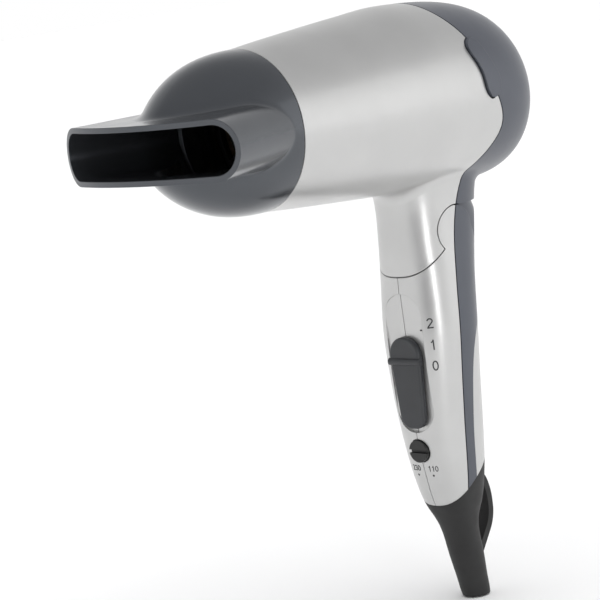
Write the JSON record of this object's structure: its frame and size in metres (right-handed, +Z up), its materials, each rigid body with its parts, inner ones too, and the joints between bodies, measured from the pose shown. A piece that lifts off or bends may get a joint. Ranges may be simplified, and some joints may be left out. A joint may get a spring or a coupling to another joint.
{
  "type": "travel hair dryer",
  "caption": "Folding travel hair dryer with a round barrel, a wide flat concentrator nozzle, a slide switch, a voltage dial and a hanging loop at the cord outlet.",
  "frame": {"origin": "middle of the hand grip, on the handle's centre line", "axes": "+X along the barrel from the nozzle to the rear intake, +Y to the dryer's left, +Z up along the handle towards the barrel"},
  "size_m": [0.1699, 0.0804, 0.2139],
  "materials": {
    "silver_shell": "satin silver lacquer",
    "dark_cover": "satin dark grey",
    "intake_plastic": "matte",
    "screen_steel": "fine mesh",
    "nozzle_plastic": "satin dark grey",
    "black_plastic": "matte",
    "control_plastic": "matte",
    "boot_rubber": "matte",
    "mica": "mica board",
    "heating_wire": "drawn wire",
    "guide_plastic": "matte",
    "steel": "machined",
    "board_green": "coated board",
    "fuse_metal": "plain",
    "lead_jacket": "insulation"
  },
  "bodies": {
    "handle": {"handle_left": "silver_shell", "handle_right": "silver_shell", "handle_spine": "dark_cover", "spine_inlay": "silver_shell", "cord_boot": "boot_rubber", "hang_loop": "boot_rubber", "hinge_pin": "steel", "hinge_washers": "steel", "switch_body": "black_plastic", "selector_body": "black_plastic", "cord_clamp": "black_plastic", "supply_leads": "lead_jacket", "fold_leads": "lead_jacket", "handle_screws": "steel"},
    "head": {"barrel_shell": "silver_shell", "rear_cover": "dark_cover", "intake_grille": "intake_plastic", "lint_screen": "screen_steel", "outlet_grille": "black_plastic", "heat_tube": "mica", "mica_boards": "mica", "heater_coils": "heating_wire", "thermostat": "steel", "thermal_fuse": "fuse_metal", "air_guide": "guide_plastic", "motor_can": "steel", "rectifier_board": "board_green"},
    "collar": {"nozzle_collar": "nozzle_plastic"},
    "nozzle": {"concentrator_nozzle": "nozzle_plastic"},
    "impeller": {"fan": "guide_plastic", "motor_shaft": "steel"},
    "slider": {"switch_slider": "control_plastic"},
    "selector": {"voltage_dial": "control_plastic"}
  },
  "joints": [
    {"name": "fold", "type": "hinge", "parent": "handle", "child": "head", "pos_m": [0.0045, 0, 0.047], "axis": [0, 1, 0], "range_deg": [0, 60]},
    {"name": "collar_pull", "type": "slide", "parent": "head", "child": "collar", "axis": [-1, 0, 0], "range_m": [0, 0.022]},
    {"name": "nozzle_swivel", "type": "hinge", "parent": "collar", "child": "nozzle", "pos_m": [-0.0805, 0, 0.095], "axis": [1, 0, 0], "continuous": true},
    {"name": "fan_spin", "type": "hinge", "parent": "head", "child": "impeller", "pos_m": [0.0155, 0, 0.095], "axis": [1, 0, 0], "continuous": true},
    {"name": "switch_slide", "type": "slide", "parent": "handle", "child": "slider", "axis": [0, 0, 1], "range_m": [0, 0.0136]},
    {"name": "voltage_turn", "type": "hinge", "parent": "handle", "child": "selector", "pos_m": [-0.0145, 0, -0.0285], "axis": [1, 0, 0], "range_deg": [0, 90]}
  ]
}
